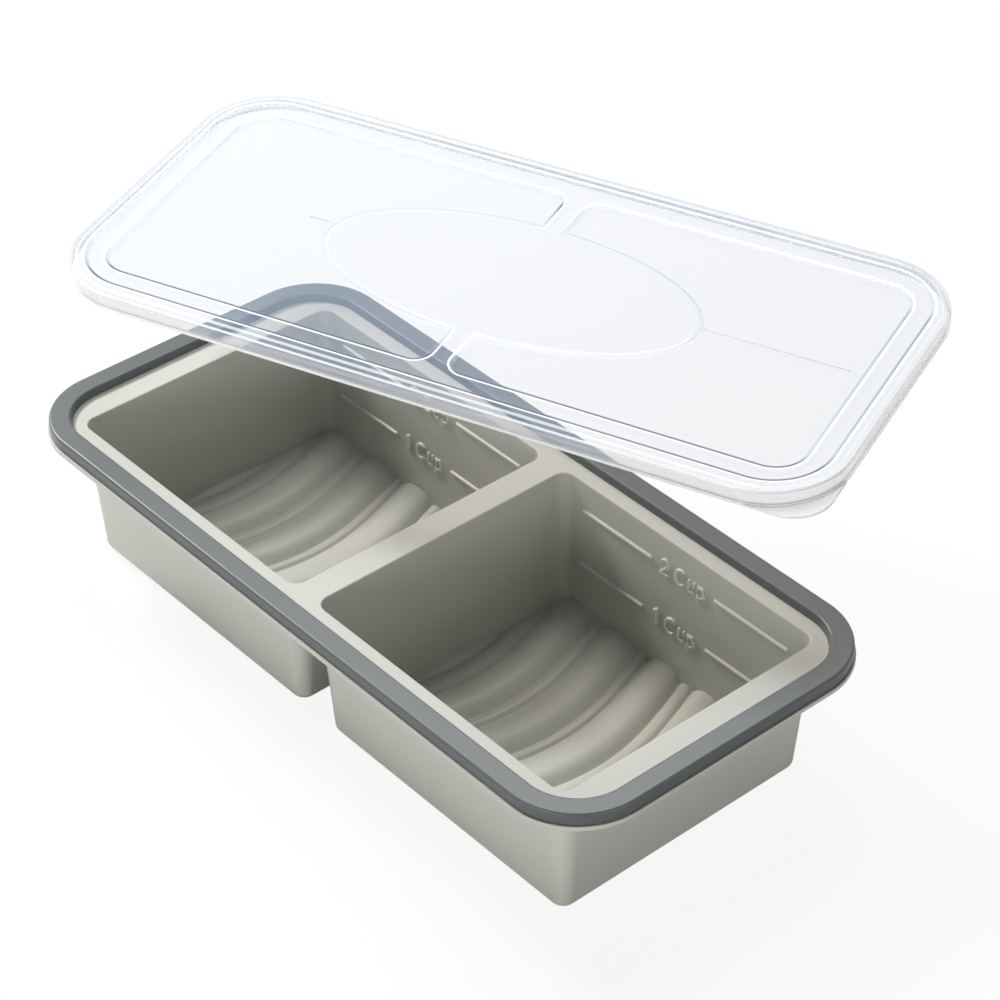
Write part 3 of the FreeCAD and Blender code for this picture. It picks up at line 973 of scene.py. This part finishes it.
@dataclass
class VolumeMarks:
    """Raised lines and lettering on the +y wall inside each tub, smoother than it and painted lighter, a
    painted highlight for their raised edges.
    """

    raised: float = 0.9
    sunk: float = 0.3
    line_width: float = 1.3
    letter_height: float = 6.6
    lettering: Lettering = field(default_factory=Lettering)
    rows: tuple[tuple[str, float, tuple[tuple[float, float], ...]], ...] = (
        ("2 Cup", 43.0, ((-49.6, -15.0), (14.7, 49.1))),
        ("1 Cup", 21.6, ((-49.0, -16.8), (13.2, 47.0))),
    )

    def wall_place(self, inside: TubInside, height: float) -> Matrix:
        """Turn and shift from a drawing, with y up and z out of it, onto the wall at a height."""
        _, half_width, _ = inside.wall_plan(height)
        tilt = math.atan(inside.lean)
        onto_wall = Matrix.Rotation(math.pi / 2 - tilt, 4, "X")
        return Matrix.Translation((inside.centre_x, half_width, height)) @ onto_wall

    def build(self) -> list[bpy.types.Object]:
        """Builds the marks of both tubs, one piece for each tub."""
        # The marks are painted lighter than the wall, a painted highlight for their raised edges.
        material = POLISHED_PAINTED_LIGHT_SILICONE.material()
        bar = Ridge(self.line_width, self.raised, self.sunk)
        letter = Ridge(self.lettering.stroke * self.letter_height, self.raised, self.sunk)
        pieces = []
        for side, centre in zip(("left", "right"), TrayMoulding().centres()):
            inside = TubInside(centre)
            shell = Shell()
            for word, height, lines in self.rows:
                place = np.array(self.wall_place(inside, height))
                for low, high in lines:
                    bar.add_to(shell, Stroke.line((low, 0.0), (high, 0.0)), place)
                middle = (lines[0][1] + lines[1][0]) / 2
                for stroke in self.lettering.word(word, self.letter_height, middle):
                    letter.add_to(shell, stroke, place)
            piece = shell.build(f"volume_marks_{side}", crease=60.0)
            piece.data.materials.append(material)
            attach(piece, Body.TRAY.value)
            pieces.append(piece)
        return pieces


@dataclass
class RimBand:
    """The dark silicone band moulded round the rim."""

    top: float = 57.0
    width: float = 7.7
    outer_round: float = 0.9
    undercut: float = 0.45
    inner_round: float = 0.9
    round_steps: int = 8

    def build(self) -> bpy.types.Object:
        """Builds the band as one closed profile carried round the rim."""
        ring = Ring.plain(corner_steps=28)
        rows = [RIM.grown(-self.undercut).on(ring, BAND_FOOT), RIM.on(ring, BAND_FOOT + self.undercut)]
        for cosine, sine in quarter_turn(self.round_steps):
            outline = RIM.grown(-self.outer_round * (1 - cosine))
            rows.append(outline.on(ring, self.top - self.outer_round * (1 - sine)))
        for cosine, sine in quarter_turn(self.round_steps):
            outline = RIM.grown(-self.width + self.inner_round * (1 - sine))
            rows.append(outline.on(ring, self.top - self.inner_round * (1 - cosine)))
        rows += [RIM.grown(-BAND_FOOT_WIDTH).on(ring, level) for level in (FLANGE_TOP, BAND_FOOT)]
        shell = Shell()
        low, high = shell.loft(rows)
        shell.bridge(high, low)
        piece = shell.build("silicone_rim_band")
        piece.data.materials.append(SLATE_SILICONE.material())
        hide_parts("rim_band")
        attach(piece, Body.TRAY.value)
        return piece


# --------------------------------------------------------------------------- the lid
@dataclass(frozen=True)
class LidZones:
    """Where the lid's finish changes, with its painted highlights and shade, and how strongly.

    A lean is the share of a face's normal along the lid's own up.  The drops are shares of a
    step's height, and the foot's values are millimetres under the lid's top.
    """

    step_lean: float = 0.2
    step_ends: tuple[float, float] = (0.001, 0.999)
    shoulder_drop: float = 0.3
    shoulder_fade: float = 0.15
    band_lean: float = 0.9
    band_shine: float = 0.6
    rounding_leans: tuple[float, ...] = (0.4, 0.6, 0.9, 0.98)
    foot_depth: float = 4.8
    foot_fade: float = 0.2
    foot_lean: float = 0.6
    skirt_least: float = 0.75
    oval_shine: float = 0.25
    oval_dark: float = 0.4
    dark_middle: float = 0.62
    dark_reach: float = 0.42
    dark_gain: float = 1.4


@dataclass
class ClearLid:
    """Thin clear cap: skirt, raised border, lowered field, two panels round an oval, corner tab."""

    top: Plan = Plan(291.2, 139.4, 30.0)
    wall: float = 1.0
    flare: float = 0.2
    height: float = 6.2
    top_round: float = 1.2
    inner_round: float = 0.5
    field: Plan = Plan(278.9, 124.9, 21.8)
    field_drop: float = 0.6
    panel_length: float = 263.2
    panel_width: float = 108.9
    panel_corner: float = 11.7
    panel_gap: float = 8.2
    gap_corner: float = 6.5
    panel_drop: float = 0.5
    panel_middle: float = 2.3
    oval_length: float = 141.0
    oval_width: float = 67.0
    step_width: float = 3.0
    step_spans: int = 12
    skirt_levels: tuple[float, ...] = (-2.4, -3.6, -4.7, -5.1)
    foot_round: float = 0.35
    foot_steps: int = 3
    grip_level: float = -4.3
    grip_proud: float = 0.4
    grip_radius: float = 0.8
    grip_reach: float = 0.66
    grip_fade: float = 0.06
    tab_corner: float = 14.0
    tab_thickness: float = 1.0
    tab_root: float = 0.4
    tab_bearings: tuple[float, float] = (-80.0, -10.0)
    tab_steps: int = 36
    centre_line: Ridge = Ridge(0.5, 0.12, 0.1)
    centre_line_y: float = 3.8
    centre_line_gap: float = 0.6
    centre_line_end: float = 5.0
    centre_line_stub: float = 10.0
    zones: LidZones = LidZones()
    # Insets of loops on the border's top that carry its band of painted highlight.
    shine_insets: tuple[float, ...] = (4.2, 3.8, 2.7, 2.2)
    turn: float = 21.4
    tilt: float = 2.0
    shift: Triple = (-37.6, 64.0, 107.5)

    def place(self) -> Matrix:
        """Turn and shift that hang the lid over the tray."""
        about_z = Matrix.Rotation(math.radians(self.turn), 4, "Z")
        about_x = Matrix.Rotation(math.radians(self.tilt), 4, "X")
        return Matrix.Translation(self.shift) @ about_z @ about_x

    def lean(self, height: float) -> float:
        """How far the skirt has leaned out at a height."""
        return self.flare * -height / self.height

    def panel_outline(self, side: int, inset: float, height: float) -> np.ndarray:
        """Loop round one panel: three straight sides, the gap's side and a bite of the oval.

        Args:
            side: 1 for the panel at +x, -1 for the one at -x.
            inset: how far the loop lies inside the panel's edge.
            height: its height.

        Returns:
            The points, anticlockwise for the +x panel.
        """
        far, high = self.panel_length / 2 - side * self.panel_middle - inset, self.panel_width / 2 - inset
        near = self.panel_gap / 2 + inset
        outer, inner = self.panel_corner - inset, self.gap_corner - inset
        oval_x, oval_y = self.oval_length / 2 + inset, self.oval_width / 2 + inset
        start = math.acos(near / oval_x)
        bite = np.linspace(-start, start, 81)
        turns = np.linspace(0.0, math.pi / 2, 15)
        arcs = [
            (far - outer, high - outer, outer, turns),
            (near + inner, high - inner, inner, turns + math.pi / 2),
        ]
        upper = [np.column_stack([x + r * np.cos(t), y + r * np.sin(t)]) for x, y, r, t in arcs]
        lower = [piece[::-1] * (1, -1) for piece in upper[::-1]]
        oval = np.column_stack([oval_x * np.cos(bite), oval_y * np.sin(bite)])[::-1]
        loop = np.vstack([*upper, oval, *lower]) * (side, 1) + (self.panel_middle, 0.0)
        return np.column_stack([loop, np.full(len(loop), height)])

    def add_face(self, shell: Shell, rim: np.ndarray, growth: float, depth: float) -> None:
        """Adds the lid's upper or lower face, inside a border loop.

        Args:
            shell: the shell that takes it.
            rim: numbers of the border's outer loop.
            growth: how far the steps' outlines lie outside those of the upper face.
            depth: how far the face lies under the upper one.
        """
        ring = Ring.plain(corner_steps=24)
        steps = smooth_step(self.step_spans)
        rows = []
        for along, down in steps:
            outline = self.field.grown(growth + self.step_width * (0.5 - along))
            rows.append(outline.on(ring, -depth - self.field_drop * down))
        border, field_edge = shell.loft(rows)
        shell.fill(rim, [border])
        holes = []
        for side in (-1, 1):
            rows = []
            for along, down in steps:
                inset = -growth + self.step_width * (along - 0.5)
                level = -depth - self.field_drop - self.panel_drop * down
                rows.append(self.panel_outline(side, inset, level))
            hole, bottom = shell.loft(rows)
            holes.append(hole)
            shell.fill(bottom)
        shell.fill(field_edge, holes)

    def skirt_rows(self, ring: Ring) -> tuple[list[np.ndarray], list[np.ndarray]]:
        """Loops down the skirt's outside, and up its inside past the grip bars."""
        foot = self.top.grown(self.flare)
        outside = [self.top.grown(-inset).on(ring, 0.0) for inset in self.shine_insets]
        for cosine, sine in quarter_turn(8):
            height = -self.top_round * (1 - cosine)
            outline = self.top.grown(self.lean(height) - self.top_round * (1 - sine))
            outside.append(outline.on(ring, height))
        outside += [self.top.grown(self.lean(height)).on(ring, height) for height in self.skirt_levels]
        lip = self.foot_round
        for cosine, sine in quarter_turn(self.foot_steps):
            height = -self.height + lip * (1 - sine)
            outside.append(foot.grown(-lip * (1 - cosine)).on(ring, height))
        inside = []
        for cosine, sine in quarter_turn(self.foot_steps):
            height = -self.height + lip * (1 - cosine)
            inside.append(foot.grown(-self.wall + lip * (1 - sine)).on(ring, height))
        straight = self.grip_mask(ring)
        for turn in np.linspace(-math.pi / 2, math.pi / 2, 9):
            height = self.grip_level + self.grip_radius * math.sin(turn)
            base = self.top.grown(self.lean(height) - self.wall).on(ring, height)
            proud = self.grip_proud * math.cos(turn)
            base[:, :2] -= ring.outward * (straight * proud)[:, None]
            inside.append(base)
        for cosine, sine in quarter_turn(4):
            height = -self.wall - self.inner_round * (1 - sine)
            grown = self.lean(height) - self.wall - self.inner_round * (1 - cosine)
            inside.append(self.top.grown(grown).on(ring, height))
        return outside, inside

    def grip_mask(self, ring: Ring) -> np.ndarray:
        """1 along the middle of each side, where the grip bars are, and 0 elsewhere."""
        along = np.where(np.abs(ring.outward[:, 0]) > 0.5, ring.anchor[:, 1], ring.anchor[:, 0])
        flat = np.abs(ring.outward).max(axis=1) > 0.999
        return np.clip((self.grip_reach - np.abs(along)) / self.grip_fade, 0.0, 1.0) * flat

    def add_tab(self, shell: Shell) -> None:
        """Adds the lifting tab, a flat crescent outside the skirt's foot at the +x and -y corner.

        Its inner side follows the skirt's corner circle.  Its outer side is the same foot with a
        tighter corner: along a ray from the circle's middle it is the nearer of the two straight
        sides, or the tighter circle where the ray meets that.
        """
        foot = self.top.grown(self.flare)
        middle = np.array([foot.length / 2 - foot.corner, foot.corner - foot.width / 2])
        turn = np.radians(np.linspace(*self.tab_bearings, self.tab_steps))
        ray = np.column_stack([np.cos(turn), np.sin(turn)])
        to_sides = foot.corner / np.abs(ray).max(axis=1)
        circle = np.array([1.0, -1.0]) * (foot.corner - self.tab_corner)
        along = ray @ circle
        to_circle = along + np.sqrt(np.maximum(along**2 - circle @ circle + self.tab_corner**2, 0.0))
        past = np.abs(ray * to_circle[:, None]) - np.abs(circle)
        reach = np.where(past.min(axis=1) > 0.0, to_circle, to_sides)
        low = -self.height
        half = self.tab_thickness / 2
        section = [(None, low), *(
            (half * (1 - math.cos(lift)), low + half * (1 + math.sin(lift)))
            for lift in np.linspace(-math.pi / 2, math.pi / 2, 7)
        ), (None, low + self.tab_thickness)]
        rows = []
        for inset, height in section:
            out = foot.corner - self.tab_root if inset is None else reach - inset
            flat = middle + ray * np.broadcast_to(out, len(ray))[:, None]
            rows.append(np.column_stack([flat, np.full(len(flat), height)]))
        numbers = [shell.add(row) for row in rows]
        for first, second in zip(numbers, [*numbers[1:], numbers[0]]):
            shell.bridge(first, second, closed=False)
        shell.faces += [[int(row[end]) for row in numbers] for end in (0, -1)]

    def add_centre_line(self, shell: Shell) -> None:
        """Adds the fine beads past the oval: one to the +x end, and a short one at -x."""
        level = -self.field_drop - self.panel_drop
        place = np.array(Matrix.Translation((self.panel_middle, self.centre_line_y, level)))
        near = self.oval_length / 2 + self.centre_line_gap
        far = self.panel_length / 2 - self.centre_line_end
        for low, high in ((near, far - self.panel_middle), (-near - self.centre_line_stub, -near)):
            self.centre_line.add_to(shell, Stroke.line((low, 0.0), (high, 0.0)), place)

    def build(self) -> bpy.types.Object:
        """Builds the lid and marks its skirt, its rounded edge and its steps."""
        ring = Ring.plain(corner_steps=24, side_steps=60)
        outside, inside = self.skirt_rows(ring)
        shell = Shell()
        upper_rim, lower_edge = shell.loft(outside)
        inner_edge, lower_rim = shell.loft(inside)
        shell.bridge(lower_edge, inner_edge)
        self.add_face(shell, upper_rim, 0.0, 0.0)
        self.add_face(shell, lower_rim, self.wall, self.wall)
        self.add_tab(shell)
        self.add_centre_line(shell)
        piece = shell.build("clear_lid", place=self.place())
        self.mark_zones(piece)
        piece.data.materials.append(CLEAR_PLASTIC.material())
        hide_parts("lid")
        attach(piece, Body.LID.value)
        return piece

    def mark_zones(self, piece: bpy.types.Object) -> None:
        """Writes four numbers from 0 to 1 on each point, for the finish.

        The skirt's number is how far the face turns away from the lid's own up, outside the field, and grows
        towards the foot.  A step gets painted shade over the lower two thirds of its fall, fainter round the
        oval, and a painted highlight over its shoulder.  A band along the border and the foot get painted
        highlights too.  The edge's number marks the top's rounding, where the finish paints a highlight.
        """
        mesh, zones = piece.data, self.zones
        count = len(mesh.vertices)
        points, normals = np.zeros(count * 3), np.zeros(count * 3)
        mesh.vertices.foreach_get("co", points)
        mesh.vertices.foreach_get("normal", normals)
        place = np.array(self.place())
        local = (points.reshape(-1, 3) / MM - place[:3, 3]) @ place[:3, :3]
        level = normals.reshape(-1, 3) @ place[:3, 2]
        under = -local[:, 2]
        within = self.field.grown(self.step_width).depth(local) > 0.0
        inset = self.top.depth(local)
        past_field = under - self.field_drop
        first, last = zones.step_ends
        down = np.where(past_field < -first, under / self.field_drop, past_field / self.panel_drop)
        step = within & (level > zones.step_lean) & (down > first) & (down < last)
        # Painted highlight over each step's shoulder.
        shoulder = np.clip((zones.shoulder_drop - down) / zones.shoulder_fade, 0.0, 1.0) * step
        rise_and_fall = (0.0, 1.0, 1.0, 0.0)
        # Painted highlight in a band along the border's top.
        band = np.interp(inset, self.shine_insets[::-1], rise_and_fall) * (level > zones.band_lean)
        # Painted highlight over the top's rounding, shown where it faces the eye.
        rounding = np.interp(level, zones.rounding_leans, rise_and_fall)
        # Painted highlight along the skirt's foot.
        foot = np.clip((under - zones.foot_depth) / zones.foot_fade, 0.0, 1.0)
        foot = foot * (np.abs(level) < zones.foot_lean)
        outside = ~within
        reach = (local[:, 0] - self.panel_middle) / self.oval_length, local[:, 1] / self.oval_width
        mid = np.hypot(*reach) < 0.5 + self.step_width / self.oval_width
        towards_foot = zones.skirt_least + (1.0 - zones.skirt_least) * under / self.height
        # Painted shade over the lower part of each step's fall.
        painted_shade = zones.dark_gain * (1.0 - np.abs(down - zones.dark_middle) / zones.dark_reach)
        on_step = shoulder * np.where(mid, zones.oval_shine, 1.0)
        numbers = {
            SKIRT: np.where(within, 0.0, (1.0 - np.abs(level)) * towards_foot),
            PAINTED_SHINE: np.maximum(on_step, outside * np.maximum(zones.band_shine * band, foot)),
            PAINTED_EDGE_SHINE: outside * rounding,
            PAINTED_STEP_SHADE: np.clip(painted_shade, 0.0, 1.0) * step * np.where(mid, zones.oval_dark, 1.0),
        }
        for name, values in numbers.items():
            mesh.attributes.new(name, "FLOAT", "POINT").data.foreach_set("value", values.astype(float))


# --------------------------------------------------------------------------- stage
@dataclass(frozen=True)
class Softbox:
    """A soft square lamp, with its bearing from +x and its height angle in degrees."""

    name: str
    bearing: float
    rise: float
    distance: float
    size: tuple[float, float]
    watts: float
    colour: Colour = (1.0, 1.0, 1.0)

    def build(self, aim: Triple) -> None:
        """Makes the lamp, pointed at a place in metres."""
        turn, rise = math.radians(self.bearing), math.radians(self.rise)
        away = Vector((math.cos(turn) * math.cos(rise), math.sin(turn) * math.cos(rise), math.sin(rise)))
        light = bpy.data.lights.new(self.name, "AREA")
        light.shape = "RECTANGLE"
        light.size, light.size_y = self.size
        light.energy = self.watts
        light.color = self.colour
        lamp = bpy.data.objects.new(self.name, light)
        lamp.location = Vector(aim) + away * self.distance
        lamp.rotation_euler = (-away).to_track_quat("-Z", "Y").to_euler()
        bpy.context.scene.collection.objects.link(lamp)


@dataclass
class Studio:
    """Pale floor, even pale surroundings, soft lamps and the camera."""

    azimuth: float = 49.09
    elevation: float = 37.67
    roll: float = -0.17
    distance: float = 1.0489
    target: Triple = (0.00616, 0.0243, 0.0565)
    lens: float = 112.1
    sensor: float = 36.0
    surroundings: float = 0.02
    floor_half: float = 3.0
    floor_level: float = -0.0002
    floor_shade: float = 0.85
    floor_white: float = 0.9
    middle: Triple = (0.0, 0.0, 0.04)
    lamps: tuple[Softbox, ...] = (
        Softbox("key_softbox", 184.0, 40.0, 1.3, (0.25, 0.25), 18.5),
        Softbox("back_softbox", 135.0, 60.0, 1.3, (0.7, 0.7), 10.0),
        Softbox("low_front_fill", 285.0, 5.0, 1.3, (1.0, 0.5), 9.0),
        Softbox("low_side_fill", 0.0, 6.0, 1.3, (0.8, 0.5), 4.5),
    )

    def light_world(self) -> None:
        """Surroundings: pale to look at, and an even glow on the object."""
        world = bpy.data.worlds.new("studio_surroundings")
        bpy.context.scene.world = world
        world.use_nodes = True
        board = Board(world.node_tree)
        seen = self.seen_rays(board)
        glow = board.node("ShaderNodeBackground", None, {"Color": WHITE, "Strength": self.surroundings})
        white = board.node("ShaderNodeBackground", None, {"Color": WHITE, "Strength": 1.0})
        mixed = board.node("ShaderNodeMixShader", None, {0: seen, 1: glow, 2: white})
        board.finish(mixed, "ShaderNodeOutputWorld")

    @staticmethod
    def seen_rays(board: Board) -> Signal:
        """1 for rays from the camera, off a glossy surface or through a clear one."""
        rays = ("Is Camera Ray", "Is Glossy Ray", "Is Transmission Ray")
        camera, glossy, through = (board.node("ShaderNodeLightPath", None, None, ray) for ray in rays)
        either = {"operation": "MAXIMUM"}
        beyond = board.node("ShaderNodeMath", either, {0: glossy, 1: through})
        return board.node("ShaderNodeMath", either, {0: camera, 1: beyond})

    def lay_floor(self) -> None:
        """A plain pale floor just under the tray."""
        half = self.floor_half
        corners = [(-half, -half), (half, -half), (half, half), (-half, half)]
        mesh = bpy.data.meshes.new("floor")
        mesh.from_pydata([(x, y, self.floor_level) for x, y in corners], [], [(0, 1, 2, 3)])
        floor = bpy.data.objects.new("floor", mesh)
        bpy.context.scene.collection.objects.link(floor)
        material, board = Board.of_material("pale_floor")
        camera = board.node("ShaderNodeLightPath", None, None, "Is Camera Ray")
        matt = board.node("ShaderNodeBsdfDiffuse", None, {"Color": (*[self.floor_shade] * 3, 1.0)})
        white = board.node("ShaderNodeEmission", None, {"Color": WHITE, "Strength": 1.0})
        mixed = board.node("ShaderNodeMixShader", None, {0: camera * self.floor_white, 1: matt, 2: white})
        board.finish(mixed)
        floor.data.materials.append(material)

    def set_camera(self) -> None:
        """Camera at the given bearing, height angle and distance from its target."""
        turn, rise = math.radians(self.azimuth), math.radians(self.elevation)
        back = Vector((math.sin(turn) * math.cos(rise), -math.cos(turn) * math.cos(rise), math.sin(rise)))
        data = bpy.data.cameras.new("camera")
        data.lens, data.sensor_width = self.lens, self.sensor
        data.clip_start, data.clip_end = 0.01, 50.0
        camera = bpy.data.objects.new("camera", data)
        camera.location = Vector(self.target) + back * self.distance
        camera.rotation_mode = "QUATERNION"
        tip = Quaternion((0.0, 0.0, 1.0), math.radians(self.roll))
        camera.rotation_quaternion = (-back).to_track_quat("-Z", "Y") @ tip
        bpy.context.scene.collection.objects.link(camera)
        bpy.context.scene.camera = camera

    def build(self) -> None:
        """Sets up everything round the object."""
        bpy.context.scene.view_settings.view_transform = "Standard"
        self.light_world()
        self.lay_floor()
        for lamp in self.lamps:
            lamp.build(self.middle)
        self.set_camera()


# --------------------------------------------------------------------------- the whole scene
def dress_steel(frame: dict[str, object]) -> bpy.types.Object:
    """Gives the hidden steel strip of the rim its own finish."""
    strip = frame["nodes"]["rim_frame"]
    strip.data.materials.clear()
    strip.data.materials.append(ROLLED_STEEL.material())
    return strip


def report(piece: bpy.types.Object) -> None:
    """Logs a piece's name and size."""
    size = piece.dimensions / MM
    log.info("%s: %d faces, %.1f x %.1f x %.1f mm", piece.name, len(piece.data.polygons), *size)


def main() -> None:
    """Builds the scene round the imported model."""
    logging.basicConfig(level=logging.INFO, format="%(name)s: %(message)s")
    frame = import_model()
    pieces = [
        TrayMoulding().build(),
        *VolumeMarks().build(),
        RimBand().build(),
        dress_steel(frame),
        ClearLid().build(),
    ]
    Studio().build()
    bpy.context.view_layer.update()
    for piece in pieces:
        report(piece)


if __name__ == "__main__":
    main()
